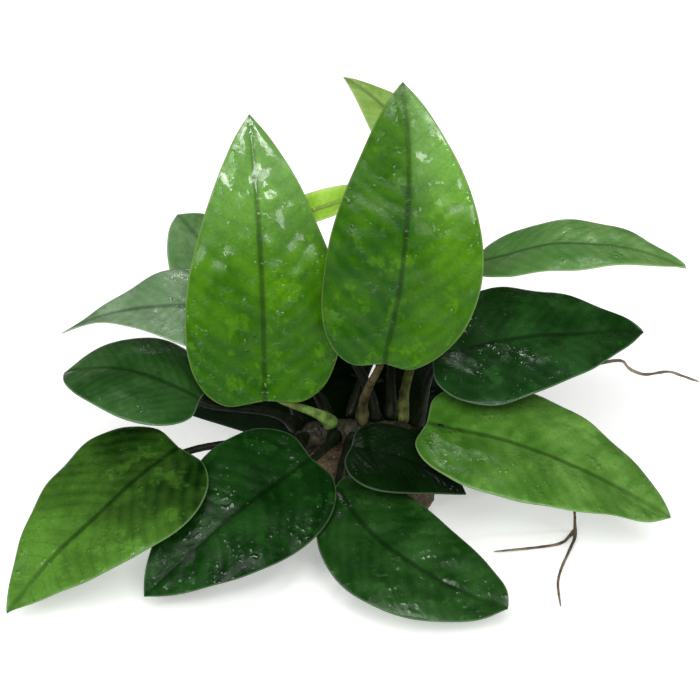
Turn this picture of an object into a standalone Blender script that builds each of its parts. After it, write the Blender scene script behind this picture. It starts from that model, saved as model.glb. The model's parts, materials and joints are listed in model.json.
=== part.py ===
"""Anubias nana growing on a small stone.

The plant is a creeping rhizome on top of a flat-bottomed stone. Each leaf is a thin closed
blade on its own round stalk, and the roots clasp the stone or reach out over the ground.
Frame: metres, +Z up, origin on the stone's flat underside, the plant's front towards -Y.
"""
import math

import bmesh
import bpy
from mathutils import Matrix, Vector, noise
from mathutils.bvhtree import BVHTree

MM = 0.001

# ---- driving dimensions, in millimetres and degrees ---------------------------------------
GAP = 0.3
STONE_CENTRE = (1.5, 5.5, 6.5)
STONE_HALF = (17.0, 15.5, 11.5)
STONE_LUMP = 2.4
RHIZOME_RADIUS = 3.4
RHIZOME_ROUTE = ((-12.0, 2.5), (-4.0, 3.5), (6.0, 2.0), (15.0, 4.5))
BLADE_THICKNESS = 0.6
STALK_BASE_RADIUS = 1.35
STALK_TIP_RADIUS = 0.75
STALK_STEPS = 9
STALK_RISE = 0.35            # how straight it leaves the rhizome, as part of its reach
STALK_ENTRY = 0.3            # how straight it runs into the midrib, as part of its reach
STALK_UNDERLAP = 1.5         # how far it runs on under the blade
STALK_CLEARANCE = 0.15       # extra room under the blade's curved base
ROOT_RADIUS = 0.55
ROOT_THINNING = 0.45
ROOT_STEPS = 8
ROOT_TOP_ANGLE = {1: 40.0, -1: 16.0}
ROOT_FOOT_ANGLE = 100.0
ROOT_CLEARANCE = 0.15        # extra room over the stone's facets
ROOT_WANDER = (0.06, 5.0, 9.0)   # sideways waves: how far, how many, and where each one starts
ROOT_HUB = 0.8               # roots fan out from this part of their own offset from the middle
ABOVE_ALL = 60.0

# A blade is built in rows that run from the midrib out to the margin. Each station is the place
# of a row's outer end, as part of the blade's length; the basal lobes reach back past the base.
ROW_STATIONS = (0.005, 0.03, 0.08, 0.16, 0.27, 0.40, 0.54, 0.69, 0.83, 0.94)
HALF_COLUMNS = 3
LOBE_REACH = 0.07

# Each leaf: base and tip of the blade, its width, how far the midrib bows up (arch) and to the
# leaf's left (sweep), its turn about the midrib at mid length (roll) and how much that turn
# grows from base to tip (twist), the angle that each half rises (fold), how far the margins
# curl down again (curl), and the outline's shape: a low "spread" is wide near the base, a low
# "taper" has a blunt tip. Lengths are millimetres, angles are degrees. "node" is the place on
# the rhizome: part of its length, and degrees from straight up towards the front.
USUAL = dict(arch=4, sweep=0, roll=0, twist=0, fold=4, curl=2, spread=0.32, taper=0.95)
LEAVES = {
    "tall_left": dict(base=(-18.5, -4, 37), tip=(-21.5, 18, 92), width=34, arch=3, sweep=-0.5,
                      spread=0.27, taper=0.85, node=(0.34, 30), tone="bright"),
    "tall_right": dict(base=(7.5, -10, 49.5), tip=(11, 8, 104), width=34, arch=3, sweep=-3.5,
                       fold=6, spread=0.36, taper=0.85, node=(0.56, 12), tone="bright"),
    "back_tip": dict(base=(18, 20, 76), tip=(-1.5, 36, 92.5), width=17, arch=3,
                     roll=0, node=(0.46, -53), tone="light"),
    "back_left": dict(base=(-22, 22, 33.5), tip=(-39, 36, 58.5), width=30,
                      curl=3, taper=0.6, node=(0.3, -45), tone="grey"),
    "left_upper": dict(base=(-26, 10, 49), tip=(-63.5, 8, 44), width=25, arch=4,
                       roll=-10, twist=20, taper=1.5, node=(0.1, -30), tone="grey"),
    "left_middle": dict(base=(-34, -3, 34.5), tip=(-63, 5, 35.5), width=30,
                        roll=-5, fold=3, taper=0.65, node=(0.04, 10), tone="dark"),
    "back_low_left": dict(base=(0.5, 26, 23), tip=(-43, 30, 13), width=27, arch=2,
                          roll=-78, node=(0.47, -88), tone="dark"),
    "left_front": dict(base=(-38.5, -16, 28), tip=(-72, -44, 6), width=34, arch=3,
                       roll=-8, node=(0.07, 60), tone="mid"),
    "front_left": dict(base=(-10, -17, 26), tip=(-43.5, -38, 6), width=30,
                       roll=-30, taper=0.85, node=(0.38, 75), tone="dark"),
    "front_right": dict(base=(-2.5, -20, 19), tip=(33, -44, 7), width=26.5,
                        roll=20, sweep=-5.5, spread=0.36, taper=0.6, node=(0.52, 80), tone="dark"),
    "centre": dict(base=(1.5, -13.5, 28), tip=(25, -18.5, 19), width=26, arch=2,
                   node=(0.7, 65), tone="dark"),
    "back_low_right": dict(base=(7.2, 28, 20), tip=(39, 32, 14.5), width=30, arch=2,
                           roll=78, node=(0.69, -88), tone="dark"),
    "right_front": dict(base=(19, -12, 33), tip=(68.5, -24, 16.5), width=33,
                        roll=12, fold=5, spread=0.3, taper=0.75, node=(0.9, 55), tone="mid"),
    "right_middle": dict(base=(20, 0, 43), tip=(64, 6, 45), width=34, arch=3,
                         roll=15, fold=3, taper=0.85, node=(0.96, 5), tone="dark"),
    "right_upper": dict(base=(31, 22, 55), tip=(73.5, 14, 57), width=25, arch=5,
                        fold=2, curl=1, spread=0.36, taper=0.85, node=(0.88, -50), tone="grey"),
    "right_back": dict(base=(12, 24, 43), tip=(30, 34, 52), width=18, arch=3,
                       curl=1, node=(0.78, -35), tone="grey"),
    "young": dict(base=(-15, 15, 67.5), tip=(8, 17, 74.5), width=8, arch=1, roll=40,
                  fold=30, curl=0, taper=0.6, node=(0.64, -15), tone="light"),
}

# Roots that grip the stone: where each leaves the rhizome, as part of its length, whether it
# runs down the front (1) or the back (-1), and how far it leans to the right on the way.
CLASPING_ROOTS = {
    "root_front_left": dict(start=0.12, side=1, lean=-0.35),
    "root_front_middle": dict(start=0.42, side=1, lean=0.1),
    "root_front_right": dict(start=0.82, side=1, lean=0.4),
    "root_back_left": dict(start=0.2, side=-1, lean=-0.4),
    "root_back_middle": dict(start=0.5, side=-1, lean=0.15),
    "root_back_right": dict(start=0.8, side=-1, lean=0.45),
}

# Roots that leave the stone: the points that each route follows, in millimetres. The ground
# root comes down to the ground and forks there into a left and a front branch.
FREE_ROOTS = {
    "root_free_right": ((16.5, 5, 22.5), (26, 6, 27), (42, 1, 36), (57, -3, 43.5), (60, -4, 42),
                        (63.5, -5, 41), (68, -7, 43), (71, -8, 42.5), (75, -9, 41.5)),
    "root_ground": ((16.5, 6.5, 20), (27, 7, 16.5), (40, 4, 11), (49, 1, 6), (50.4, -3.8, 1.0)),
    "root_ground_left": ((49.2, -5.2, 0.8), (47, -10, 0.8), (40, -12, 0.8), (31, -13.5, 0.8)),
    "root_ground_front": ((50.9, -5.0, 0.8), (48.6, -12, 0.8), (45, -24, 0.8), (45, -35, 0.8)),
}

COLOURS = {
    "bright": (0.055, 0.19, 0.008, 1.0),
    "light": (0.16, 0.33, 0.05, 1.0),
    "mid": (0.05, 0.16, 0.025, 1.0),
    "grey": (0.09, 0.18, 0.07, 1.0),
    "dark": (0.012, 0.05, 0.010, 1.0),
    "stalk": (0.10, 0.13, 0.03, 1.0),
    "rhizome": (0.06, 0.07, 0.02, 1.0),
    "root": (0.14, 0.09, 0.05, 1.0),
    "stone": (0.09, 0.06, 0.035, 1.0),
}
ROUGHNESS = {"stone": 0.85, "root": 0.7, "rhizome": 0.55, "stalk": 0.45}


def clear_scene():
    """Remove whatever objects the file starts with."""
    for item in list(bpy.data.objects):
        bpy.data.objects.remove(item, do_unlink=True)


def material(name):
    """One Principled material for each kind of tissue."""
    found = bpy.data.materials.get(name)
    if found:
        return found
    made = bpy.data.materials.new(name)
    made.use_nodes = True
    shader = made.node_tree.nodes["Principled BSDF"]
    shader.inputs["Base Color"].default_value = COLOURS[name]
    shader.inputs["Roughness"].default_value = ROUGHNESS.get(name, 0.3)
    made.diffuse_color = COLOURS[name]
    return made


def add_mesh(name, shape, finish):
    """Turn a bmesh in millimetres into a named object in metres."""
    bmesh.ops.scale(shape, vec=(MM, MM, MM), verts=shape.verts)
    bmesh.ops.recalc_face_normals(shape, faces=shape.faces)
    mesh = bpy.data.meshes.new(name)
    shape.to_mesh(mesh)
    shape.free()
    mesh.materials.append(material(finish))
    mesh.shade_smooth()
    item = bpy.data.objects.new(name, mesh)
    bpy.context.scene.collection.objects.link(item)
    return item


def add_tube(name, points, radii, finish, roundness):
    """A capped tube through the points, all in millimetres; it has 2 * roundness + 4 sides."""
    curve = bpy.data.curves.new(name, "CURVE")
    curve.dimensions = "3D"
    curve.twist_mode = "MINIMUM"
    curve.bevel_depth = MM
    curve.bevel_resolution = roundness
    curve.use_fill_caps = True
    spline = curve.splines.new("POLY")
    spline.points.add(len(points) - 1)
    for knot, point, radius in zip(spline.points, points, radii):
        knot.co = (point[0] * MM, point[1] * MM, point[2] * MM, 1.0)
        knot.radius = radius
    curve.materials.append(material(finish))
    item = bpy.data.objects.new(name, curve)
    bpy.context.scene.collection.objects.link(item)
    return item


def smooth_route(knots, steps):
    """Points along a Catmull-Rom curve through the knots, with the given steps per stretch."""
    knots = [Vector(knot) for knot in knots]
    padded = [2 * knots[0] - knots[1]] + knots + [2 * knots[-1] - knots[-2]]
    route = []
    for before, here, there, after in zip(padded, padded[1:], padded[2:], padded[3:]):
        for step in range(steps):
            t = step / steps
            route.append(0.5 * (2 * here + (there - before) * t
                                + (2 * before - 5 * here + 4 * there - after) * t * t
                                + (3 * here - before - 3 * there + after) * t ** 3))
    route.append(knots[-1])
    return route


# ---- stone -------------------------------------------------------------------------------
def stone_shape():
    """A lumpy, rounded stone in millimetres, cut flat at z = 0."""
    shape = bmesh.new()
    bmesh.ops.create_icosphere(shape, subdivisions=4, radius=1.0)
    for vert in shape.verts:
        way = vert.co.normalized()
        lump = noise.fractal(way * 1.3 + Vector((7.0, 2.0, 5.0)), 1.0, 2.0, 3)
        spread = Vector(way[i] * (STONE_HALF[i] + STONE_LUMP * lump) for i in range(3))
        vert.co = Vector(STONE_CENTRE) + spread
    everything = shape.verts[:] + shape.edges[:] + shape.faces[:]
    bmesh.ops.bisect_plane(shape, geom=everything, dist=0.001, plane_co=(0, 0, 0),
                           plane_no=(0, 0, 1), clear_inner=True)
    rim = [edge for edge in shape.edges if edge.is_boundary]
    bmesh.ops.holes_fill(shape, edges=rim)
    return shape


def stone_surface():
    """The stone's surface as a tree that rays can be cast at."""
    shape = stone_shape()
    tree = BVHTree.FromBMesh(shape)
    shape.free()
    return tree


def add_stone():
    """The stone itself."""
    item = add_mesh("stone", stone_shape(), "stone")
    item.data.set_sharp_from_angle(angle=math.radians(50))


# ---- rhizome -----------------------------------------------------------------------------
def rhizome_route(surface):
    """The rhizome's centre line, lying on top of the stone."""
    route = smooth_route([(x, y, 0.0) for x, y in RHIZOME_ROUTE], 8)
    tops = []
    for point in route:
        below = []
        for reach in (-RHIZOME_RADIUS, 0.0, RHIZOME_RADIUS):
            above = Vector((point.x, point.y + reach, ABOVE_ALL))
            hit = surface.ray_cast(above, Vector((0, 0, -1)))[0]
            below.append(hit.z if hit else 0.0)
        tops.append(max(below))
    for index, point in enumerate(route):
        nearby = tops[max(0, index - 3):index + 4]
        point.z = 0.5 * (max(nearby) + sum(nearby) / len(nearby)) + RHIZOME_RADIUS + 2.0 * GAP
    return route


def rhizome_radii(route):
    """Radii that swell between the leaf scars and close in at both ends."""
    radii = []
    for index in range(len(route)):
        ring = 1.0 if index % 2 else 0.9
        from_end = min(index, len(route) - 1 - index)
        radii.append(RHIZOME_RADIUS * ring * min(1.0, 0.5 + 0.25 * from_end))
    return radii


def place_on(route, part):
    """The point and the direction at part of the way along a route."""
    place = part * (len(route) - 1)
    index = min(int(place), len(route) - 2)
    point = route[index].lerp(route[index + 1], place - index)
    return point, (route[index + 1] - route[index]).normalized()


# ---- leaves ------------------------------------------------------------------------------
def leaf_value(leaf, name):
    """One of a leaf's values, or the usual one."""
    return leaf.get(name, USUAL[name])


def leaf_axes(leaf, along_part=0.5):
    """The blade's own directions: along the midrib, across it, and out of its upper face."""
    along = (Vector(leaf["tip"]) - Vector(leaf["base"])).normalized()
    face = (Vector((0, 0, 1)) - along * along.z).normalized()
    turn = leaf_value(leaf, "roll") + leaf_value(leaf, "twist") * (along_part - 0.5)
    face = Matrix.Rotation(math.radians(turn), 3, along) @ face
    return along, face.cross(along), face


def blade_point(leaf, along_part, across):
    """A point on the blade's middle surface: part of the length along, millimetres across."""
    along, side, face = leaf_axes(leaf, along_part)
    base = Vector(leaf["base"])
    length = (Vector(leaf["tip"]) - base).length
    half = leaf["width"] / 2.0
    bow = 4.0 * along_part * (1.0 - along_part)
    tilt = math.radians(leaf_value(leaf, "fold"))
    spread_out = across * math.cos(tilt) + leaf_value(leaf, "sweep") * bow
    drop = leaf_value(leaf, "curl") * (across / half) ** 2
    lift = leaf_value(leaf, "arch") * bow + abs(across) * math.sin(tilt) - drop
    return base + along * (length * along_part) + side * spread_out + face * lift


def half_outline(leaf):
    """The outer end of each row: part of the length along, part of the half width across."""
    spread = leaf_value(leaf, "spread")
    taper = leaf_value(leaf, "taper")
    widest = spread / (spread + taper)
    peak = widest ** spread * (1.0 - widest) ** taper
    outline = []
    for place in ROW_STATIONS:
        across = place ** spread * (1.0 - place) ** taper / peak
        outline.append((place - LOBE_REACH * (1.0 - place) ** 8, across))
    return outline


def blade_shape(leaf):
    """The blade's middle surface, as rows that run from the midrib out to the margin."""
    shape = bmesh.new()
    half = leaf["width"] / 2.0
    outline = half_outline(leaf)
    feet = [0.0] + [place - 0.1 * place * (1.0 - place) for place in ROW_STATIONS[1:]]
    midrib = [shape.verts.new(blade_point(leaf, foot, 0.0)) for foot in feet]
    tip = shape.verts.new(blade_point(leaf, 1.0, 0.0))
    for side in (-1.0, 1.0):
        rows = []
        for foot, spine, (place, across) in zip(feet, midrib, outline):
            row = [spine]
            for column in range(1, HALF_COLUMNS + 1):
                part = column / HALF_COLUMNS
                along_part = foot + (place - foot) * part
                row.append(shape.verts.new(
                    blade_point(leaf, along_part, side * across * half * part)))
            rows.append(row)
        for here, there in zip(rows, rows[1:]):
            for column in range(HALF_COLUMNS):
                shape.faces.new((here[column], here[column + 1],
                                 there[column + 1], there[column]))
        for column in range(HALF_COLUMNS):
            shape.faces.new((rows[-1][column], rows[-1][column + 1], tip))
    return shape


def add_blade(name, leaf):
    """One leaf blade, a thin closed sheet."""
    item = add_mesh("leaf_" + name, blade_shape(leaf), leaf["tone"])
    thick = item.modifiers.new("thickness", "SOLIDIFY")
    thick.thickness = BLADE_THICKNESS * MM
    thick.offset = 0.0
    thick.use_even_offset = True


def stalk_route(leaf, rhizome):
    """A stalk's centre line, from the rhizome's side to just under the blade's base."""
    part, angle = leaf["node"]
    root, heading = place_on(rhizome, part)
    up = (Vector((0, 0, 1)) - heading * heading.z).normalized()
    outward = Matrix.Rotation(math.radians(angle), 3, heading) @ up
    start = root + outward * (RHIZOME_RADIUS + GAP)
    along, side, face = leaf_axes(leaf, 0.0)
    length = (Vector(leaf["tip"]) - Vector(leaf["base"])).length
    entry = (along + face * (4.0 * leaf_value(leaf, "arch") / length)
             + side * (4.0 * leaf_value(leaf, "sweep") / length)).normalized()
    below = STALK_TIP_RADIUS + BLADE_THICKNESS / 2.0 + GAP + STALK_CLEARANCE
    end = Vector(leaf["base"]) + entry * STALK_UNDERLAP - face * below
    reach = (end - start).length
    first = start + outward * (STALK_RISE * reach)
    second = end - entry * (STALK_ENTRY * reach)
    route = []
    for step in range(STALK_STEPS + 1):
        t = step / STALK_STEPS
        u = 1.0 - t
        route.append(start * u ** 3 + first * (3 * u * u * t)
                     + second * (3 * u * t * t) + end * t ** 3)
    return route


def add_stalk(name, leaf, rhizome):
    """One leaf stalk, thicker where it leaves the rhizome."""
    route = stalk_route(leaf, rhizome)
    radii = []
    for index in range(len(route)):
        part = index / (len(route) - 1)
        radii.append(STALK_TIP_RADIUS + (STALK_BASE_RADIUS - STALK_TIP_RADIUS) * (1 - part) ** 2)
    add_tube("stalk_" + name, route, radii, "stalk", 1)


# ---- roots -------------------------------------------------------------------------------
def clasping_route(root, rhizome, surface):
    """A root's centre line, from beside the rhizome down over the stone's surface."""
    start = place_on(rhizome, root["start"])[0]
    centre = Vector(STONE_CENTRE)
    outward = -root["side"]
    swing, waves, shift = ROOT_WANDER
    hub = Vector((centre.x + (start.x - centre.x) * ROOT_HUB, centre.y, centre.z))
    route = []
    for step in range(ROOT_STEPS + 1):
        part = step / ROOT_STEPS
        wander = root["lean"] * part + swing * math.sin(waves * part + shift * root["start"])
        top = ROOT_TOP_ANGLE[root["side"]]
        slope = math.radians(top + (ROOT_FOOT_ANGLE - top) * part)
        way = Vector((wander * math.sin(slope), outward * math.sin(slope), math.cos(slope)))
        far = hub + way.normalized() * ABOVE_ALL
        hit, normal, _, _ = surface.ray_cast(far, -way.normalized())
        route.append(hit + normal * (ROOT_RADIUS + GAP + ROOT_CLEARANCE))
    return route


def root_radii(count):
    """Radii that thin out towards a root's end."""
    return [ROOT_RADIUS * (1.0 - ROOT_THINNING * index / (count - 1)) for index in range(count)]


def add_roots(rhizome, surface):
    """The roots that grip the stone, then those that leave it."""
    for name, root in CLASPING_ROOTS.items():
        route = clasping_route(root, rhizome, surface)
        add_tube(name, route, root_radii(len(route)), "root", 0)
    for name, knots in FREE_ROOTS.items():
        route = smooth_route(knots, 3)
        add_tube(name, route, root_radii(len(route)), "root", 0)


def main():
    """Build the whole plant on its stone."""
    clear_scene()
    surface = stone_surface()
    rhizome = rhizome_route(surface)
    add_stone()
    add_tube("rhizome", rhizome, rhizome_radii(rhizome), "rhizome", 2)
    for name, leaf in LEAVES.items():
        add_blade(name, leaf)
        add_stalk(name, leaf, rhizome)
    add_roots(rhizome, surface)


main()
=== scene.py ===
"""Looks for the anubias nana on its stone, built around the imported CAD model.

Every leaf is a fine closed sheet whose outline and curvature are read from its CAD blade, with a
grooved midrib, sunken side veins, quilting between them and gently waved margins. Stalks, roots,
the rhizome and the stone are refined copies of their CAD nodes.
"""

import json
import math

import bmesh
import bpy
import numpy as np
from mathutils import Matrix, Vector, noise


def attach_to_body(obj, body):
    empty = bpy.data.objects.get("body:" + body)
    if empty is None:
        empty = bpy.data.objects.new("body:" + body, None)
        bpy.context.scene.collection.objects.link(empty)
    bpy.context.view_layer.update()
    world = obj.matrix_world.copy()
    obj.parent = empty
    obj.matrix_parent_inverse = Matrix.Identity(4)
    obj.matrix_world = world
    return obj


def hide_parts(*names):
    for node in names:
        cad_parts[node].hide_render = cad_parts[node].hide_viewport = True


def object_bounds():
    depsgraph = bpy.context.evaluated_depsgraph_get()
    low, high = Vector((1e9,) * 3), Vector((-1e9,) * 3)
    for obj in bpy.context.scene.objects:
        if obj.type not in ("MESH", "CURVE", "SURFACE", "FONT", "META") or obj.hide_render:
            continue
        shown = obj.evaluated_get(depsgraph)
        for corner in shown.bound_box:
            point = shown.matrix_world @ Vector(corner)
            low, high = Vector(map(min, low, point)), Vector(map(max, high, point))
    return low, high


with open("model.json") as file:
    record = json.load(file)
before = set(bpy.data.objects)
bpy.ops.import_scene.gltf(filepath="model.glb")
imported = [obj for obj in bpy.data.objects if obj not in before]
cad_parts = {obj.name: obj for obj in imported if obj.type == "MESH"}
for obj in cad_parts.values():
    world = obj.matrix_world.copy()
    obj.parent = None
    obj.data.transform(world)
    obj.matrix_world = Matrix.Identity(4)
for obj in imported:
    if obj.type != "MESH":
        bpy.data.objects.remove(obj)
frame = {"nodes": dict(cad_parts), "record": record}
NODES = frame["nodes"]
CAD_BOX = [list(corner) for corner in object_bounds()]
MM = 0.001
BODY = "root"
WELD = 0.01 * MM

# ---- leaf blades, in millimetres -------------------------------------------------------------
ROWS = 96
HALF_COLUMNS = 28
COLUMNS = 2 * HALF_COLUMNS + 1
CAD_THICKNESS = 0.6
SKIN_SLOPE = 0.7            # the upper skin's faces lean less than this cosine from the blade's axis
STALK_END_POINTS = 6        # the stalk's vertices nearest the blade, which mark where it joins
OUTLINE_SAMPLES = 720
OUTLINE_SOFTENING = 1.6     # corners of the outline are rounded over this length
OUTLINE_STRIDE = 5          # of the softened outline's points, every so many are kept
NOTCH_FILL = 0.75           # how much of the notch between the basal lobes is filled with tissue
SWEEP_MEASURED = 0.6        # the midrib's bow is measured where it is more than this part of its full
SLOPE_STEP = 0.05
ROW_LEAN = 1.15             # above 1, a row's inner end lies nearer the base than its outer end
SHEET = 0.26                # half the thickness between veins
RIM, RIM_WIDTH = 0.07, 1.2  # half the thickness at the margin, and the width over which it grows
GROOVE_DEPTH, GROOVE_WIDTH = 0.14, 0.80
GROOVE_AT_TIP = 0.35        # as part of its depth at the base
VALLEY_DEPTH, VALLEY_WIDTH, VALLEY_FADE = 0.60, 5.0, 6.0
CREASE = 3.0                # the fold at the midrib is rounded over this width
KEEL_DEPTH, KEEL_WIDTH, KEEL_FADE = 0.95, 0.95, 0.8
KEEL_TAPER = 0.6
USUAL_LENGTH = 60.0
VEIN_PITCH = 4.6            # between side veins on a blade of the usual length
VEIN_ANGLE = 0.62           # how far a side vein runs to the tip for each millimetre outward
VEIN_CURVE = 0.25           # how much more it does so near the margin
VEIN_DEPTH = 0.05
VEIN_WIDTH = 0.085          # as part of the pitch
QUILT = 0.10                # how far the tissue bulges between side veins
MARGIN_FADE, RIB_FADE = 2.5, 1.5    # quilting and veins fade out this near the margin and midrib

# Ripples: height (or, for the veins, part of the pitch), wavelength, and what is added to the seed.
WANDER, WANDER_LENGTH, WANDER_SEED = 0.22, 20.0, 30
PUCKER, PUCKER_LENGTH, PUCKER_SEED = 0.14, 6.5, 0
ROLL, ROLL_LENGTH, ROLL_SEED = 0.35, 24.0, 50
WAVE, WAVE_LENGTH, WAVE_SEED = 0.55, 15.0, 90
WAVE_AT_MARGIN = 3          # the power with which waves grow towards the margin
WAVE_FADE = 6.0             # from the base
RIPPLE_WAVES, RIPPLE_STRETCH, RIPPLE_SCALE = 7, (0.7, 1.5), 2.6

# ---- leaf colours and gloss --------------------------------------------------------------------
# A noise is its size in millimetres, detail and roughness. A range is where a smooth step starts
# and ends, and then, if not 0 and 1, its values there.
USUAL_MOTTLE, USUAL_GLOSS = 0.5, 0.22
MOTTLE_NOISE, MOTTLE_RANGE = (9.0, 4.0, 0.55), (0.35, 0.68)
DEEPER_BASE = (0.0, 0.55, 0.4, 1.0)
# Painted light: the ranges below make a blade's right half fresher green, as where light falls on it.
PAINTED_RIGHT_HALF, PAINTED_RIGHT_ALONG = (0.15, -0.5), (0.1, 0.7, 0.3, 1.0)
# Painted sheen: pale patches of a wet film, painted into the colour as much as the look's wetness
# asks.
FILM_SHEEN_NOISE, FILM_SHEEN_RANGE, FILM_PAINTED_SHEEN = (6.0, 5.0, 0.62), (0.56, 0.64), 0.3
# Painted light: the quilting's crowns between the side veins painted fresher green.
PAINTED_CROWN_RANGE, PAINTED_CROWN_LIGHT = (0.05, 0.5), 0.08
# The pale colour below is a painted sheen, mixed into the leaf colour on the upper part of a blade;
# the next line marks out that upper part, where the clear coat's real sheen lies too.
PAINTED_SHEEN_COLOUR = (150, 196, 120)
UPPER_SHEEN_ALONG, UPPER_SHEEN_RIGHT = (0.4, 0.85), (0.05, -0.15, 0.1, 1.0)
SPECK_NOISE, SPECK_RANGE, SPECKS, SPECK_SHADE = (0.7, 2.0), (0.3, 0.7), 0.16, 0.55
VEIN_LINE, VEIN_START, VEIN_SHADE = (0.07, 0.0), (0.3, 2.0), 0.18
MIDRIB_LINE, MIDRIB_ALONG, MIDRIB_SHADE = (0.9, 0.2), (1.0, 0.5, 0.3, 0.6), 0.45
TIP_RANGE = (0.965, 1.0, 0.0, 0.7)
MARGIN_LINE, MARGIN_PALE, MARGIN_COLOUR = (0.45, 0.1), 0.5, (0.55, 70)
UNDER_PALE, UNDER_COLOUR = 0.45, (0.8, 26)
WET_NOISE, WET_START, WET_SPREAD, WET_FULL = (5.5, 3.0, 0.6), 0.62, 0.2, 0.68
DRY_NOISE, DRY_RANGE, WET_SMOOTHS = (1.4, 3.0), (0.3, 0.7, 0.26, 0.40), 0.16
BEAD_SIZE, BEAD_RANGE, BEAD_DEPTH = 1.4, (0.42, 0.1), 0.13
SHEEN_NOISE, SHEEN_RANGE = (4.0, 4.0, 0.6), (0.4, 0.6)
PORE_NOISE, PORES, LEAF_RELIEF = (1.1, 3.0, 0.6), 0.5, 0.2
COAT_ROUGHNESS = 0.08

# Each leaf's deep and fresh green (sRGB, 0 to 255) and how wet it looks, which also sets how much
# painted pale sheen of a wet film is in its colour. Then, where it differs from the usual leaf: how
# much more fresh green it has towards its tip, how much painted light makes its right half fresher
# green, how strongly it is mottled, how glossy it is, how much painted pale sheen is in the colour
# of its upper part, and how much wet sheen its coat has there.
LOOKS = {
    "tall_left": dict(deep=(30, 76, 2), fresh=(92, 148, 14), wet=0.8, tip=0.3, mottle=0.3,
                      gloss=0.12, painted_sheen=0.28, sheen=0.9),
    "tall_right": dict(deep=(20, 66, 2), fresh=(86, 138, 14), wet=0.8, right=0.5, mottle=0.3,
                       gloss=0.12, painted_sheen=0.3, sheen=0.8),
    "back_tip": dict(deep=(116, 152, 58), fresh=(162, 194, 114), wet=0.4),
    # back_left's and left_upper's pale grey-green is partly their own green and partly painted sheen
    # of grazing reflection.
    "back_left": dict(deep=(82, 120, 68), fresh=(134, 168, 116), wet=0.5),
    "left_upper": dict(deep=(94, 126, 86), fresh=(154, 178, 144), wet=0.6),
    "left_middle": dict(deep=(28, 66, 20), fresh=(74, 114, 62), wet=0.5, gloss=0.15),
    # back_low_left's near-black green is painted shade of the crowded middle of the plant.
    "back_low_left": dict(deep=(4, 22, 3), fresh=(12, 38, 8), wet=0.3, gloss=0.06),
    "left_front": dict(deep=(1, 30, 1), fresh=(80, 126, 42), wet=0.8, tip=0.9, gloss=0.12),
    "front_left": dict(deep=(4, 34, 3), fresh=(36, 80, 28), wet=1.0, gloss=0.08),
    "front_right": dict(deep=(16, 50, 10), fresh=(54, 96, 42), wet=1.0, gloss=0.15),
    # centre's and back_low_right's near-black greens are painted shade of the crowded middle of the
    # plant.
    "centre": dict(deep=(4, 22, 3), fresh=(16, 44, 10), wet=0.5, gloss=0.06),
    "back_low_right": dict(deep=(4, 20, 3), fresh=(14, 38, 8), wet=0.3, gloss=0.06),
    "right_front": dict(deep=(48, 94, 18), fresh=(108, 154, 68), wet=0.8, tip=0.35),
    "right_middle": dict(deep=(12, 44, 9), fresh=(46, 90, 40), wet=1.0, gloss=0.15),
    # right_upper's grey-green is partly its own green and partly painted sheen of grazing reflection.
    "right_upper": dict(deep=(74, 124, 52), fresh=(130, 168, 98), wet=0.4),
    "right_back": dict(deep=(40, 70, 30), fresh=(80, 112, 60), wet=0.4),
    "young": dict(deep=(140, 190, 50), fresh=(186, 220, 100), wet=0.4),
}


# ---- the other tissues, in millimetres and sRGB ------------------------------------------------
SHEATH_LENGTH, SHEATH_SWELL, SHEATH_SEAT = 7.0, 0.9, 0.35
NECK_LENGTH, NECK_RISE = 3.0, 0.55
FORK_TRUNK, FORK_BRANCHES = "root_ground", ("root_ground_left", "root_ground_front")
FORK_REACH, FORK_SWELL = 1.0, 0.15
GROUND_FADE = 1.5           # relief fades out this near the ground
JOIN_ANGLE, JOIN_SHAPE = 0.6, 1.2
RELIEF = {
    # subdivisions, relief's height, its size, its octaves, and how far the surface stands out
    "stalk": (2, 0.08, 1.6, 3, 0.12),
    "root": (2, 0.10, 1.5, 3, 0.05),
    "rhizome": (3, 0.35, 2.0, 4, 0.0),
    "stone": (3, 0.9, 4.0, 6, 0.0),
}

FINISHES = {
    # size of the roughness patches, least and most roughness, relief's noise, relief's depth
    "stalk": (1.5, 0.4, 0.6, (0.8, 3.0), 0.15),
    "rhizome": (1.2, 0.45, 0.7, (0.9, 4.0), 0.3),
    "root": (1.0, 0.6, 0.85, (0.5, 3.0), 0.12),
    "stone": (1.0, 0.7, 0.95, (1.2, 5.0, 0.65), 0.5),
}
EVEN, WIDE = (0.35, 0.65), (0.3, 0.7)
STALK_GLOSS, RHIZOME_GLOSS = 0.12, 0.25
STALK_STREAKS, STALK_BROWN_SIZE, STALK_BROWN_RANGE = (2.2, 4.0, 0.6), 6.0, (0.5, 0.75)
STALK_BROWNING, STALK_BROWN_SHARE, STALK_BROWN_LIFT = 0.6, (0.7, 0.5, 0.6), (12, 8, 0)
# Painted shade: below the first height a stalk keeps its dark colours as painted shade near the
# rhizome, and by the second it has turned towards the fresher upper green.
STALK_PAINTED_SHADE_TO, STALK_GREEN_FROM, STALK_GREENING = 42.0, 62.0, 0.85      # heights above the floor
STALK_UPPER_GREEN = (70, 98, 38)
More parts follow.
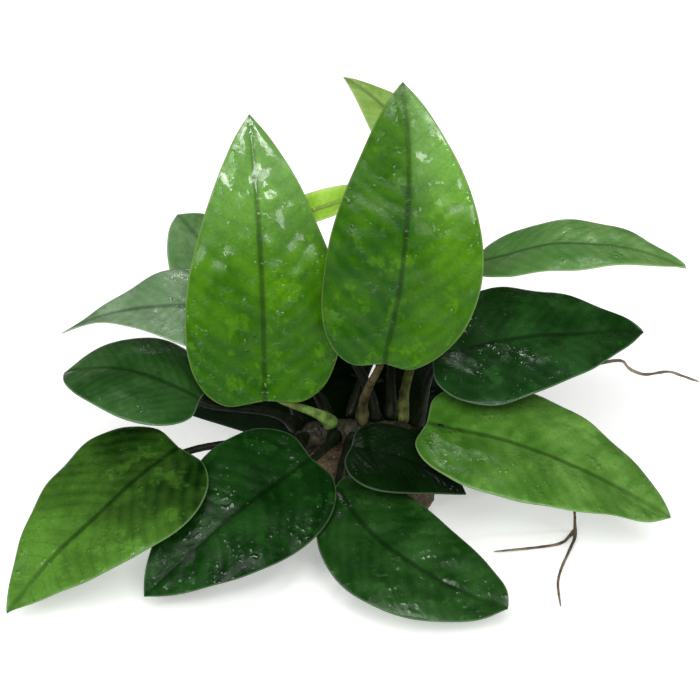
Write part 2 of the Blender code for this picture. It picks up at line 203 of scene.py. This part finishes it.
# The usual stalk greens, near-black, are painted shade of the crowded middle of the plant.
STALK_GREENS = {
    "usual": ((4, 9, 2), (18, 26, 8)),
    "tall_left": ((56, 78, 32), (112, 140, 70)),
    "tall_right": ((18, 24, 10), (84, 78, 48)),
    "right_upper": ((40, 46, 18), (92, 98, 46)),
}
RHIZOME_SKIN, RHIZOME_PATCHES = ((13, 16, 7), (46, 40, 22)), (3.0, 4.0)
RHIZOME_SCAR, SCAR_SIZE, SCAR_RANGE = (34, 22, 14), 2.6, (0.25, 0.05)
ROOT_BARK, ROOT_PATCHES = ((72, 60, 46), (128, 112, 92)), (4.0, 3.0)
ROOT_SPECK, ROOT_SPECK_NOISE, ROOT_SPECK_RANGE = (52, 42, 32), (0.8, 2.0), (0.55, 0.75)
STONE_BODY, STONE_PATCHES = ((46, 34, 24), (104, 84, 60)), (5.0, 5.0, 0.6)
STONE_PIT, PIT_SIZE, PIT_RANGE, PIT_SHADE = (22, 17, 12), 1.6, (0.28, 0.05), 0.8
STONE_GRAIN, GRAIN_NOISE, GRAIN_RANGE = (138, 122, 96), (0.6, 2.0), (0.62, 0.72)
STONE_MOSS, MOSS_NOISE, MOSS_RANGE = (38, 48, 20), (8.0, 3.0), (0.52, 0.7, 0.0, 0.55)


# ---- reading the CAD ---------------------------------------------------------------------------
def welded(node):
    """The node's mesh, in metres, as a bmesh whose faces share their vertices."""
    shape = bmesh.new()
    shape.from_mesh(NODES[node].data)
    bmesh.ops.remove_doubles(shape, verts=shape.verts, dist=WELD)
    shape.normal_update()
    return shape


def vertices(node):
    """The node's distinct vertices in millimetres."""
    shape = welded(node)
    points = np.array([v.co for v in shape.verts]) / MM
    shape.free()
    return points


def unit(vector):
    """The vector at length 1."""
    return vector / np.linalg.norm(vector)


def upper_skin(node):
    """The middle surface under a blade's upper skin, as points, and its rim as a closed loop."""
    shape = welded(node)
    points = np.array([v.co for v in shape.verts])
    axis = np.linalg.svd(points - points.mean(0), full_matrices=False)[2][2]
    axis = Vector(axis * math.copysign(1.0, axis[2]))
    skin = {f for f in shape.faces if axis.dot(f.normal) > SKIN_SLOPE}
    middle = {}
    for corner in {v for f in skin for v in f.verts}:
        up = sum((f.normal * f.calc_area() for f in corner.link_faces if f in skin), Vector())
        middle[corner] = np.array(corner.co) / MM - np.array(up.normalized()) * CAD_THICKNESS / 2
    beside = {}
    for edge in shape.edges:
        if sum(f in skin for f in edge.link_faces) == 1:
            for one, other in (edge.verts, tuple(edge.verts)[::-1]):
                beside.setdefault(one, []).append(other)
    start = next(iter(beside))
    loop, here = [start], beside[start][0]
    while here is not start:
        last = loop[-1]
        loop.append(here)
        here = beside[here][0] if beside[here][0] is not last else beside[here][1]
    found = np.array(list(middle.values())), np.array([middle[v] for v in loop]), np.array(axis)
    shape.free()
    return found


def smooth_line(knots, count):
    """A smooth line through the knots, as evenly spaced points."""
    step = np.linalg.norm(np.diff(knots, axis=0), axis=1)[:, None]
    slope = np.diff(knots, axis=0) / step
    inner = (slope[:-1] * step[1:] + slope[1:] * step[:-1]) / (step[:-1] + step[1:])
    tangent = np.vstack([slope[:1], inner, slope[-1:]])
    far = np.concatenate([[0.0], np.cumsum(step)])
    place = np.linspace(0.0, far[-1], count)
    index = np.clip(np.searchsorted(far, place, "right") - 1, 0, len(step) - 1)
    h = step[index]
    t = (place - far[index])[:, None] / h
    return ((2 * t**3 - 3 * t**2 + 1) * knots[index] + (t**3 - 2 * t**2 + t) * h * tangent[index]
            + (3 * t**2 - 2 * t**3) * knots[index + 1] + (t**3 - t**2) * h * tangent[index + 1])


def softened(line, reach):
    """The line with its corners rounded, both ends kept."""
    step = np.linalg.norm(np.diff(line, axis=0), axis=1).mean()
    passes = max(1, int((reach / step) ** 2))
    line = line.copy()
    for _ in range(passes):
        line[1:-1] += 0.25 * (line[:-2] - 2 * line[1:-1] + line[2:])
    return line


def thinned(line):
    """Every few points of a line, and its last one."""
    return np.vstack([line[:1 - OUTLINE_STRIDE:OUTLINE_STRIDE], line[-1:]])


class Blade:
    """A leaf blade as measured on its CAD node, in millimetres.

    A place on it is (a, c): along from base to tip, and across from the midrib to the leaf's
    left. Its middle surface's height is a polynomial fitted to the CAD vertices.
    """

    def __init__(self, name):
        points, rim, axis = upper_skin("leaf_" + name)
        stalk = vertices("stalk_" + name)
        gaps = np.linalg.norm(stalk[:, None] - points[None], axis=2).min(1)
        attach = stalk[np.argsort(gaps)[:STALK_END_POINTS]].mean(0)
        first = np.argmin(np.linalg.norm(rim - attach, axis=1))
        rim = np.roll(rim, -first, axis=0)
        last = np.argmax(np.linalg.norm(rim - rim[0], axis=1))
        self.base, tip = rim[0], rim[last]
        self.length = np.linalg.norm(tip - self.base)
        self.along = unit(tip - self.base)
        self.face = unit(axis - self.along * axis.dot(self.along))
        self.side = np.cross(self.face, self.along)
        one, other = self.flat(rim[:last + 1]), self.flat(np.vstack([rim[last:], rim[:1]])[::-1])
        if one[:, 1].mean() < other[:, 1].mean():
            one, other = other, one
        self.margins = left, right = self.outer_lines(one[:, :2], other[:, :2])
        middle = (left[:, 1] + right[:, 1]) / 2
        part = (left[:, 0] + right[:, 0]) / 2 / self.length
        bow = 4 * part * (1 - part)
        inside = bow > SWEEP_MEASURED
        self.sweep = (middle[inside] / bow[inside]).mean()
        self.half = (left[:, 1] - right[:, 1]).max() / 2
        places = self.flat(points)
        terms = self.terms(places[:, 0], places[:, 1])
        self.shape = np.linalg.lstsq(terms, places[:, 2], rcond=None)[0]

    def flat(self, points):
        """Points as (along, across, up) from the base."""
        away = points - self.base
        return np.stack([away @ self.along, away @ self.side, away @ self.face], 1)

    def outer_lines(self, left, right):
        """Both margins from the middle of the rounded base to the tip, evenly spaced."""
        for line in (left, right):
            lobe = np.argmin(line[:len(line) // 2, 0])
            line[:lobe, 0] += NOTCH_FILL * (line[lobe, 0] - line[:lobe, 0])
        rim = smooth_line(np.vstack([left[::-1], right[1:]]), OUTLINE_SAMPLES)
        rim = softened(rim, OUTLINE_SOFTENING)
        quarter = OUTLINE_SAMPLES // 4
        middle = quarter + np.argmin(np.abs(rim[quarter:-quarter, 1]))
        return [smooth_line(thinned(line), ROWS + 2) for line in (rim[middle::-1], rim[middle:])]

    def bend(self, a):
        """How far the midrib lies to the left at a place along the blade."""
        part = np.clip(a / self.length, 0.0, 1.0)
        return self.sweep * 4 * part * (1 - part)

    def terms(self, a, across):
        """The terms of the height's polynomial at places on the blade."""
        x, y = a / self.length, across / self.half
        fold = np.hypot(across - self.bend(a), CREASE) / self.half
        return np.stack([x**0, x, x**2, x**3, y, x * y, x**2 * y, fold, y**2, x * y**2], -1)

    def height(self, a, across):
        """The height of the middle surface over the plane through base and tip."""
        return self.terms(a, across) @ self.shape

    def normal(self, a, across):
        """The middle surface's upward normals."""
        d = SLOPE_STEP
        slope_a = (self.height(a + d, across) - self.height(a - d, across)) / (2 * d)
        slope_c = (self.height(a, across + d) - self.height(a, across - d)) / (2 * d)
        up = (self.face - slope_a[..., None] * self.along - slope_c[..., None] * self.side)
        return up / np.linalg.norm(up, axis=-1, keepdims=True)

    def point(self, a, across):
        """Points of the middle surface."""
        return (self.base + a[..., None] * self.along + across[..., None] * self.side
                + self.height(a, across)[..., None] * self.face)


# ---- making pieces -------------------------------------------------------------------------------
def add_piece(name, points, faces, material, slot, *nodes):
    """A mesh piece in metres that stands for its CAD nodes."""
    mesh = bpy.data.meshes.new(name)
    mesh.from_pydata([tuple(p) for p in points], [], faces)
    mesh.shade_smooth()
    mesh.materials.append(material)
    piece = bpy.data.objects.new(name, mesh)
    bpy.context.scene.collection.objects.link(piece)
    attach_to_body(piece, BODY)
    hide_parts(*nodes)
    return piece


def sheet_faces(rows, columns):
    """Faces of a closed sheet: an upper and a lower grid between one base and one tip vertex."""
    low, base, tip = rows * columns, 2 * rows * columns, 2 * rows * columns + 1
    last = (rows - 1) * columns
    faces = []
    for j in range(columns - 1):
        faces += [(base, j, j + 1), (base, low + j + 1, low + j)]
        faces += [(last + j, tip, last + j + 1), (low + last + j, low + last + j + 1, tip)]
        for here in range(j, last, columns):
            ahead = here + columns
            faces.append((here, ahead, ahead + 1, here + 1))
            faces.append((low + here, low + here + 1, low + ahead + 1, low + ahead))
    for right in range(0, last, columns):
        left = right + columns - 1
        faces.append((right, low + right, low + right + columns, right + columns))
        faces.append((left, left + columns, low + left + columns, low + left))
    left = columns - 1
    faces += [(base, low, 0), (base, left, low + left)]
    faces += [(last, low + last, tip), (last + left, tip, low + last + left)]
    return faces


def bump(distance, width):
    """A smooth bell, 1 at no distance."""
    return np.exp(-(distance / width) ** 2)


def ripple(a, c, wavelength, seed):
    """A smooth, irregular pattern between about -1 and 1."""
    draw = np.random.default_rng(seed)
    total = np.zeros_like(a)
    for _ in range(RIPPLE_WAVES):
        turn, phase = draw.uniform(0, math.tau, 2)
        stretch = draw.uniform(*RIPPLE_STRETCH)
        way = (a * math.cos(turn) + c * math.sin(turn)) / (wavelength * stretch)
        total += np.sin(math.tau * way + phase)
    return total / RIPPLE_SCALE


def fade(distance, width):
    """0 at no distance, growing to 1 at the width and beyond."""
    return np.clip(distance / width, 0.0, 1.0)


def grid(blade):
    """The places (a, across) of a blade's rows, and how far out each column is, -1 to 1."""
    t = np.linspace(-1.0, 1.0, COLUMNS)
    left, right = (margin[1:-1] for margin in blade.margins)
    back = blade.margins[0][0, 0]
    part = (np.arange(1, ROWS + 1) / (ROWS + 1)) ** ROW_LEAN
    foot_a = back + part * (blade.length - back)
    foot = np.stack([foot_a, blade.bend(foot_a)], 1)
    outer = np.where(t[None, :, None] >= 0, left[:, None], right[:, None])
    place = foot[:, None] + (outer - foot[:, None]) * np.abs(t)[None, :, None]
    return place[..., 0], place[..., 1], t


def margin_distance(blade, a, across):
    """How far each place is from the nearest point of the margin."""
    edge = np.full(a.shape, np.inf)
    for point in np.vstack(blade.margins):
        edge = np.minimum(edge, np.hypot(a - point[0], across - point[1]))
    return edge


def relief(blade, a, c, t, edge, seed):
    """How far the skin stands over the middle surface, and the side veins' phase."""
    fresh = np.clip(1.0 - a / blade.length, 0.0, 1.0)
    scale = blade.length / USUAL_LENGTH
    pitch = VEIN_PITCH * blade.length / USUAL_LENGTH
    phase = (a - VEIN_ANGLE * np.abs(c) - VEIN_CURVE * c**2 / blade.half) / pitch
    phase += WANDER * ripple(a, c, WANDER_LENGTH, seed + WANDER_SEED)
    off_vein = np.abs(phase - np.round(phase))
    inner = fade(edge, MARGIN_FADE) * fade(np.abs(c), RIB_FADE)
    rise = QUILT * scale * np.sin(math.pi * off_vein) * inner
    rise += PUCKER * ripple(a, c, PUCKER_LENGTH, seed + PUCKER_SEED) * inner
    rise += ROLL * scale * ripple(a, c, ROLL_LENGTH, seed + ROLL_SEED)
    wave = WAVE * scale * ripple(a, c, WAVE_LENGTH, seed + WAVE_SEED)
    rise += wave * np.abs(t)[None, :] ** WAVE_AT_MARGIN * fade(a, WAVE_FADE)
    rise -= GROOVE_DEPTH * bump(c, GROOVE_WIDTH) * (GROOVE_AT_TIP + (1.0 - GROOVE_AT_TIP) * fresh)
    rise -= VALLEY_DEPTH * scale * bump(c, VALLEY_WIDTH) * fade(edge, VALLEY_FADE)
    rise -= VEIN_DEPTH * bump(off_vein, VEIN_WIDTH) * inner
    return rise, phase


def add_leaf(name, look, seed):
    """One leaf blade as a fine closed sheet around its CAD blade's middle surface."""
    blade = Blade(name)
    a, across, t = grid(blade)
    c = across - blade.bend(a)
    edge = margin_distance(blade, a, across)
    rise, phase = relief(blade, a, c, t, edge, seed)
    fresh = np.clip(1.0 - a / blade.length, 0.0, 1.0)
    thick = RIM + (SHEET - RIM) * fade(edge, RIM_WIDTH) ** 0.5
    keel = KEEL_DEPTH * bump(c, KEEL_WIDTH) * fresh ** KEEL_TAPER * fade(edge, KEEL_FADE)

    middle, up = blade.point(a, across), blade.normal(a, across)
    top = middle + up * (rise + thick)[..., None]
    below = middle + up * (rise - thick - keel)[..., None]
    ends = blade.margins[0][[0, -1]]
    lifted = (up * rise[..., None])[[0, -1], HALF_COLUMNS]
    ends = blade.point(ends[:, 0], ends[:, 1]) + lifted
    points = np.vstack([top.reshape(-1, 3), below.reshape(-1, 3), ends]) * MM
    piece = add_piece("blade_" + name, points, sheet_faces(ROWS, COLUMNS),
                      leaf_material(name, look), slot_of("leaf_" + name), "leaf_" + name)
    patterns = {"leaf_along": a / blade.length, "leaf_across": c / blade.half,
                "leaf_phase": phase, "leaf_edge": edge, "leaf_rib": np.abs(c)}
    for pattern, values in patterns.items():
        ends = values[[0, -1], HALF_COLUMNS]
        add_pattern(piece, pattern, np.concatenate([values.ravel(), values.ravel(), ends]))
    add_pattern(piece, "leaf_under", np.repeat([0.0, 1.0, 0.5], [a.size, a.size, 2]))
    return blade


def add_pattern(piece, name, values):
    """A number for each of the piece's vertices, which its material reads by name."""
    piece.data.attributes.new(name, "FLOAT", "POINT").data.foreach_set("value", values)


def slot_of(node):
    """The material slot that the record gives a node."""
    return next(part["material_slot"] for part in frame["record"]["subparts"]
                if part["node"] == node)


# ---- materials ---------------------------------------------------------------------------------
def linear(colour):
    """An sRGB colour, 0 to 255, as Blender's linear RGBA."""
    parts = [value / 255 for value in colour]
    return tuple(p / 12.92 if p <= 0.04045 else ((p + 0.055) / 1.055) ** 2.4 for p in parts) + (1,)


class Nodes:
    """A material's node tree, with a short call for each kind of node used here."""

    def __init__(self, name):
        self.material = bpy.data.materials.new(name)
        self.material.use_nodes = True
        self.tree = self.material.node_tree
        self.shader = self.tree.nodes["Principled BSDF"]
        self.place = self.add("ShaderNodeTexCoord").outputs["Object"]

    def add(self, kind, **settings):
        node = self.tree.nodes.new(kind)
        for key, value in settings.items():
            setattr(node, key, value)
        return node

    def feed(self, socket, value):
        if isinstance(value, bpy.types.NodeSocket):
            self.tree.links.new(value, socket)
        else:
            socket.default_value = value

    def maths(self, operation, *values):
        node = self.add("ShaderNodeMath", operation=operation)
        for socket, value in zip(node.inputs, values):
            self.feed(socket, value)
        return node.outputs[0]

    def span(self, value, low, high, to_low=0.0, to_high=1.0):
        """The value's range low..high as a smooth step from to_low to to_high."""
        node = self.add("ShaderNodeMapRange", interpolation_type="SMOOTHSTEP")
        for socket, number in zip(node.inputs, (value, low, high, to_low, to_high)):
            self.feed(socket, number)
        return node.outputs[0]

    def pattern(self, name):
        return self.add("ShaderNodeAttribute", attribute_name=name).outputs["Fac"]

    def times(self, one, other):
        return self.maths("MULTIPLY", one, other)

    def plus(self, one, other):
        return self.maths("ADD", one, other)

    def noise(self, size, detail=3.0, roughness=0.5):
        """Noise with features of the given size in millimetres, 0 to 1."""
        node = self.add("ShaderNodeTexNoise")
        self.feed(node.inputs["Vector"], self.place)
        node.inputs["Scale"].default_value = 1.0 / (size * MM)
        node.inputs["Detail"].default_value = detail
        node.inputs["Roughness"].default_value = roughness
        return node.outputs["Fac"]

    def cells(self, size, feature="F1"):
        node = self.add("ShaderNodeTexVoronoi", feature=feature)
        self.feed(node.inputs["Vector"], self.place)
        node.inputs["Scale"].default_value = 1.0 / (size * MM)
        return node.outputs["Distance"]

    def mix(self, factor, one, other):
        """A colour between one and other."""
        node = self.add("ShaderNodeMix", data_type="RGBA")
        for socket, value in ((0, factor), (6, one), (7, other)):
            self.feed(node.inputs[socket], value)
        return node.outputs[2]

    def bump(self, socket, height, depth):
        """Tilt the normals of a shader socket; depth is the height's full range in millimetres."""
        node = self.add("ShaderNodeBump")
        node.inputs["Distance"].default_value = depth * MM
        self.feed(node.inputs["Height"], height)
        self.feed(self.shader.inputs[socket], node.outputs["Normal"])

    def finish(self, colour, roughness, height, depth, **fixed):
        """Connect the shader; fixed holds values that are the same all over."""
        self.feed(self.shader.inputs["Base Color"], colour)
        self.feed(self.shader.inputs["Roughness"], roughness)
        self.bump("Normal", height, depth)
        for key, value in fixed.items():
            self.shader.inputs[key.replace("_", " ")].default_value = value
        return self.material


def shade(colour, share, lift=0):
    """A share of an sRGB colour, lifted by a number, as linear RGBA."""
    return linear([min(255, share * value + lift) for value in colour])


def leaf_colour(n, look, upper):
    """Two mottled greens, specks, veins, midrib, a pale margin and underside, and painted light:
    a pale sheen of wet film, fresher crowns between the veins, a fresher right half and a pale
    sheen on the upper part.
    """
    along, across = n.pattern("leaf_along"), n.pattern("leaf_across")
    edge, rib = n.pattern("leaf_edge"), n.pattern("leaf_rib")
    off_vein = n.maths("PINGPONG", n.pattern("leaf_phase"), 0.5)
    mottle = n.span(n.noise(*MOTTLE_NOISE), *MOTTLE_RANGE)
    mottle = n.times(mottle, look.get("mottle", USUAL_MOTTLE))
    mottle = n.plus(mottle, n.times(along, look.get("tip", 0.0)))
    mottle = n.times(mottle, n.span(along, *DEEPER_BASE))
    # painted light: the right half made fresher green, by as much as the look's right asks
    painted_right_light = n.times(n.span(across, *PAINTED_RIGHT_HALF), n.span(along, *PAINTED_RIGHT_ALONG))
    mottle = n.plus(mottle, n.times(painted_right_light, look.get("right", 0.0)))
    # painted sheen: pale patches of a wet film, by the look's wetness
    mottle = n.plus(mottle, n.span(n.noise(*FILM_SHEEN_NOISE), *FILM_SHEEN_RANGE, 0.0, FILM_PAINTED_SHEEN * look["wet"]))
    # painted light: fresher green on the crowns between the veins
    mottle = n.plus(mottle, n.times(n.span(off_vein, *PAINTED_CROWN_RANGE), PAINTED_CROWN_LIGHT))
    deep = linear(look["deep"])
    colour = n.mix(mottle, deep, linear(look["fresh"]))
    # painted highlight: a pale sheen painted into the colour of the blade's upper part
    colour = n.mix(n.times(upper, look.get("painted_sheen", 0.0)), colour, linear(PAINTED_SHEEN_COLOUR))
    speck = n.times(n.span(n.noise(*SPECK_NOISE), *SPECK_RANGE), SPECKS)
    colour = n.mix(speck, colour, shade(look["deep"], SPECK_SHADE))
    vein = n.times(n.span(off_vein, *VEIN_LINE), n.span(rib, *VEIN_START))
    colour = n.mix(n.times(vein, VEIN_SHADE), colour, deep)
    midrib = n.times(n.span(rib, *MIDRIB_LINE), n.span(along, *MIDRIB_ALONG))
    darker = n.maths("MAXIMUM", midrib, n.span(along, *TIP_RANGE))
    colour = n.mix(darker, colour, shade(look["deep"], MIDRIB_SHADE))
    margin = n.times(n.span(edge, *MARGIN_LINE), MARGIN_PALE)
    colour = n.mix(margin, colour, shade(look["fresh"], *MARGIN_COLOUR))
    under = n.times(n.pattern("leaf_under"), UNDER_PALE)
    return n.mix(under, colour, shade(look["fresh"], *UNDER_COLOUR))


def leaf_material(name, look):
    """A wet, leathery blade, with beading and sheen in its clear coat."""
    n = Nodes("leaf_" + name)
    # upper marks the blade's upper part, which holds the painted sheen in the colour and the coat's
    # real sheen
    upper = n.span(n.pattern("leaf_along"), *UPPER_SHEEN_ALONG)
    if "right" in look:
        upper = n.times(upper, n.span(n.pattern("leaf_across"), *UPPER_SHEEN_RIGHT))
    wet = n.span(n.noise(*WET_NOISE), WET_START - WET_SPREAD * look["wet"], WET_FULL)
    rough = n.plus(n.span(n.noise(*DRY_NOISE), *DRY_RANGE), n.times(wet, -WET_SMOOTHS))
    beads = n.times(n.span(n.cells(BEAD_SIZE, "SMOOTH_F1"), *BEAD_RANGE), wet)
    sheen = n.times(n.span(n.noise(*SHEEN_NOISE), *SHEEN_RANGE), look.get("sheen", 0.0))
    coat = n.maths("MAXIMUM", n.times(sheen, upper), n.times(beads, look["wet"]))
    n.feed(n.shader.inputs["Coat Weight"], coat)
    n.bump("Coat Normal", beads, BEAD_DEPTH)
    height = n.plus(n.times(n.noise(*PORE_NOISE), PORES), beads)
    return n.finish(leaf_colour(n, look, upper), rough, height, LEAF_RELIEF,
                    Coat_Roughness=COAT_ROUGHNESS,
                    Specular_IOR_Level=look.get("gloss", USUAL_GLOSS))


def two_tone(n, colours, patches):
    """A noise's mix of two sRGB colours."""
    return n.mix(n.span(n.noise(*patches), *EVEN), *map(linear, colours))


def dull_finish(n, kind, colour, dents=None, **fixed):
    """Finish a tissue or the stone by its row in FINISHES, with dents if it has them."""
    size, least, most, relief_noise, depth = FINISHES[kind]
    height = n.noise(*relief_noise)
    if dents:
        height = n.maths("SUBTRACT", height, dents)
    return n.finish(colour, n.span(n.noise(size), *WIDE, least, most), height, depth, **fixed)


def stalk_material(name, deep, fresh):
    """Leaf stalks: dull green with brown and pale streaks, darker low down as painted shade near the
    rhizome, and fresher green higher up.
    """
    n = Nodes(name)
    colour = n.mix(n.span(n.noise(*STALK_STREAKS), *WIDE), linear(deep), linear(fresh))
    browned = [share * value + lift for share, value, lift
               in zip(STALK_BROWN_SHARE, fresh, STALK_BROWN_LIFT)]
    brown = n.times(n.span(n.noise(STALK_BROWN_SIZE), *STALK_BROWN_RANGE), STALK_BROWNING)
    colour = n.mix(brown, colour, linear(browned))
    # painted shade: darker low down near the rhizome, fresher green higher up
    split = n.add("ShaderNodeSeparateXYZ")
    n.feed(split.inputs[0], n.place)
    above_painted_shade = n.span(split.outputs["Z"], STALK_PAINTED_SHADE_TO * MM, STALK_GREEN_FROM * MM,
                    0.0, STALK_GREENING)
    colour = n.mix(above_painted_shade, colour, linear(STALK_UPPER_GREEN))
    return dull_finish(n, "stalk", colour, Specular_IOR_Level=STALK_GLOSS)


def rhizome_material():
    """The creeping rhizome: dark green skin with brown leaf scars."""
    n = Nodes("rhizome_tissue")
    scars = n.span(n.cells(SCAR_SIZE), *SCAR_RANGE)
    colour = n.mix(scars, two_tone(n, RHIZOME_SKIN, RHIZOME_PATCHES), linear(RHIZOME_SCAR))
    return dull_finish(n, "rhizome", colour, Specular_IOR_Level=RHIZOME_GLOSS)


def root_material():
    """Wiry roots: brown with paler young stretches."""
    n = Nodes("root_tissue")
    specks = n.span(n.noise(*ROOT_SPECK_NOISE), *ROOT_SPECK_RANGE)
    colour = n.mix(specks, two_tone(n, ROOT_BARK, ROOT_PATCHES), linear(ROOT_SPECK))
    return dull_finish(n, "root", colour)


def stone_material():
    """A brown, porous stone with darker pits, pale grains and a little moss."""
    n = Nodes("brown_stone")
    pits = n.span(n.cells(PIT_SIZE), *PIT_RANGE)
    colour = two_tone(n, STONE_BODY, STONE_PATCHES)
    colour = n.mix(n.times(pits, PIT_SHADE), colour, linear(STONE_PIT))
    colour = n.mix(n.span(n.noise(*GRAIN_NOISE), *GRAIN_RANGE), colour, linear(STONE_GRAIN))
    colour = n.mix(n.span(n.noise(*MOSS_NOISE), *MOSS_RANGE), colour, linear(STONE_MOSS))
    return dull_finish(n, "stone", colour, pits)


# ---- everything that is not a blade --------------------------------------------------------------
def refined(node, levels):
    """The node's mesh in smooth quads: points in millimetres, their normals, and faces."""
    shape = welded(node)
    bmesh.ops.join_triangles(shape, faces=shape.faces, angle_face_threshold=JOIN_ANGLE,
                             angle_shape_threshold=JOIN_SHAPE)
    mesh = bpy.data.meshes.new("refining")
    shape.to_mesh(mesh)
    shape.free()
    item = bpy.data.objects.new("refining", mesh)
    bpy.context.scene.collection.objects.link(item)
    item.modifiers.new("smooth", "SUBSURF").levels = levels
    fine = item.evaluated_get(bpy.context.evaluated_depsgraph_get()).to_mesh()
    points = np.array([v.co for v in fine.vertices]) / MM
    normals = np.array([v.normal for v in fine.vertices])
    faces = [tuple(f.vertices) for f in fine.polygons]
    bpy.data.objects.remove(item)
    bpy.data.meshes.remove(mesh)
    return points, normals, faces


def grain(points, size, octaves):
    """Fractal noise at each point, about -1 to 1."""
    return np.array([noise.fractal(Vector(p) / size, 1.0, 2.0, octaves) for p in points])


def add_refined(node, material, slot, shift=None):
    """A finer copy of a CAD node, with relief added along its normals."""
    levels, height, size, octaves, swell = RELIEF[slot]
    points, normals, faces = refined(node, levels)
    rise = height * grain(points, size, octaves) + swell
    moved = points + normals * (rise * fade(points[:, 2], GROUND_FADE))[:, None]
    if shift:
        moved = shift(moved, normals)
    return add_piece("fine_" + node, moved * MM, faces, material, slot, node)


def joined(blade, rhizome):
    """A shift that seats a stalk in the rhizome, with a clasping sheath, and in the midrib."""
    def shift(points, normals):
        away = np.linalg.norm(points[:, None] - rhizome[None], axis=2)
        nearest = rhizome[away.argmin(1)]
        near = np.clip(1.0 - (away.min(1) - away.min()) / SHEATH_LENGTH, 0.0, 1.0)[:, None]
        points = points + normals * SHEATH_SWELL * near ** 2
        points = points + (nearest - points) * SHEATH_SEAT * near ** 4
        under = np.linalg.norm(points - blade.base, axis=1)
        under = np.clip(1.0 - (under - under.min()) / NECK_LENGTH, 0.0, 1.0)[:, None]
        return points + blade.face * NECK_RISE * under
    return shift


def reached(fork):
    """A shift that carries a root's end into the fork and thickens it there."""
    def shift(points, normals):
        away = np.linalg.norm(points - fork, axis=1)
        end = points[away < away.min() + FORK_REACH].mean(0)
        near = np.clip(1.0 - (away - away.min()) / NECK_LENGTH, 0.0, 1.0)[:, None]
        near = near * near * (3.0 - 2.0 * near)
        return points + (fork - end) * near + normals * FORK_SWELL * near
    return shift


def add_ground_parts(blades):
    """Stalks, roots, rhizome and stone."""
    finishes = {name: stalk_material("stalk_tissue_" + name, *greens)
                for name, greens in STALK_GREENS.items()}
    root, rhizome = root_material(), vertices("rhizome")
    for name, blade in blades.items():
        finish = finishes.get(name, finishes["usual"])
        add_refined("stalk_" + name, finish, "stalk", joined(blade, rhizome))
    branches = np.vstack([vertices(name) for name in FORK_BRANCHES])
    gaps = np.linalg.norm(branches[:, None] - vertices(FORK_TRUNK)[None], axis=2).min(1)
    fork = branches[gaps < gaps.min() + FORK_REACH].mean(0)
    for name in sorted(NODES):
        if name.startswith("root_"):
            shift = reached(fork) if name in (FORK_TRUNK, *FORK_BRANCHES) else None
            add_refined(name, root, "root", shift)
    add_refined("rhizome", rhizome_material(), "rhizome")
    add_refined("stone", stone_material(), "stone")


# ---- stage -----------------------------------------------------------------------------------------
LOW, HIGH = (Vector(corner) for corner in CAD_BOX)
CENTRE = (LOW + HIGH) / 2
AIM_SHIFT = Vector((-1.5, 13.5, -12.9)) * MM
AIM = CENTRE + AIM_SHIFT
CAMERA_ELEVATION = 30.0
CAMERA_DISTANCE = 0.6
FIELD_OF_VIEW = 14.626
FLOOR_HALF = 3.0
SOFTBOXES = (
    # name, azimuth from the front towards the right, elevation, distance, side, watts
    ("softbox_main", -8.0, 50.0, 1.1, 0.5, 7.0),
    ("softbox_sheen", 12.0, 38.0, 1.1, 0.3, 4.2),
    ("softbox_sheen_left", -28.0, 34.0, 1.1, 0.25, 2.2),
    ("softbox_right", 85.0, 28.0, 1.2, 0.5, 2.5),
    ("softbox_left", -80.0, 28.0, 1.2, 0.5, 2.2),
    ("softbox_back", 176.0, 50.0, 1.0, 0.08, 1.2),
)
WORLD_STRENGTH = 0.12
FLOOR_GLOW = 0.35
FLOOR_WHITES, FLOOR_PATCHES = ((250, 250, 249), (254, 254, 253)), 40.0
FLOOR_ROUGHNESS, FLOOR_GLOSS, FLOOR_TOOTH, FLOOR_TOOTH_DEPTH = 0.9, 0.1, 2.0, 0.02
WHITE = (1.0, 1.0, 1.0, 1.0)


def around(azimuth, elevation, distance):
    """A point around the aim; azimuth 0 is the front, and it grows to the right."""
    az, el = math.radians(azimuth), math.radians(elevation)
    way = Vector((math.sin(az) * math.cos(el), -math.cos(az) * math.cos(el), math.sin(el)))
    return AIM + way * distance


def look_at(item, target):
    """Turn a camera or light to face the target."""
    item.rotation_euler = (target - item.location).to_track_quat("-Z", "Y").to_euler()


def add_stage():
    """Floor, lights, world and camera."""
    bpy.ops.mesh.primitive_plane_add(size=2 * FLOOR_HALF, location=(0, 0, LOW.z))
    floor = bpy.context.object
    floor.name = "floor"
    n = Nodes("floor_paper")
    colour = n.mix(n.noise(FLOOR_PATCHES), *map(linear, FLOOR_WHITES))
    floor.data.materials.append(n.finish(
        colour, FLOOR_ROUGHNESS, n.noise(FLOOR_TOOTH), FLOOR_TOOTH_DEPTH,
        Specular_IOR_Level=FLOOR_GLOSS,
        Emission_Color=WHITE, Emission_Strength=FLOOR_GLOW))
    for name, azimuth, elevation, distance, side, watts in SOFTBOXES:
        lamp = bpy.data.lights.new(name, "AREA")
        lamp.shape, lamp.size, lamp.energy = "SQUARE", side, watts
        item = bpy.data.objects.new(name, lamp)
        item.location = around(azimuth, elevation, distance)
        look_at(item, AIM)
        bpy.context.scene.collection.objects.link(item)
    world = bpy.data.worlds.new("studio")
    world.use_nodes = True
    background = world.node_tree.nodes["Background"]
    background.inputs["Color"].default_value = WHITE
    background.inputs["Strength"].default_value = WORLD_STRENGTH
    scene = bpy.context.scene
    scene.world = world
    scene.view_settings.view_transform = "Standard"
    camera = bpy.data.objects.new("camera", bpy.data.cameras.new("camera"))
    camera.data.angle = math.radians(FIELD_OF_VIEW)
    camera.location = around(0.0, CAMERA_ELEVATION, CAMERA_DISTANCE)
    look_at(camera, AIM)
    scene.collection.objects.link(camera)
    scene.camera = camera


grown = {leaf: add_leaf(leaf, appearance, number)
         for number, (leaf, appearance) in enumerate(LOOKS.items())}
add_ground_parts(grown)
add_stage()
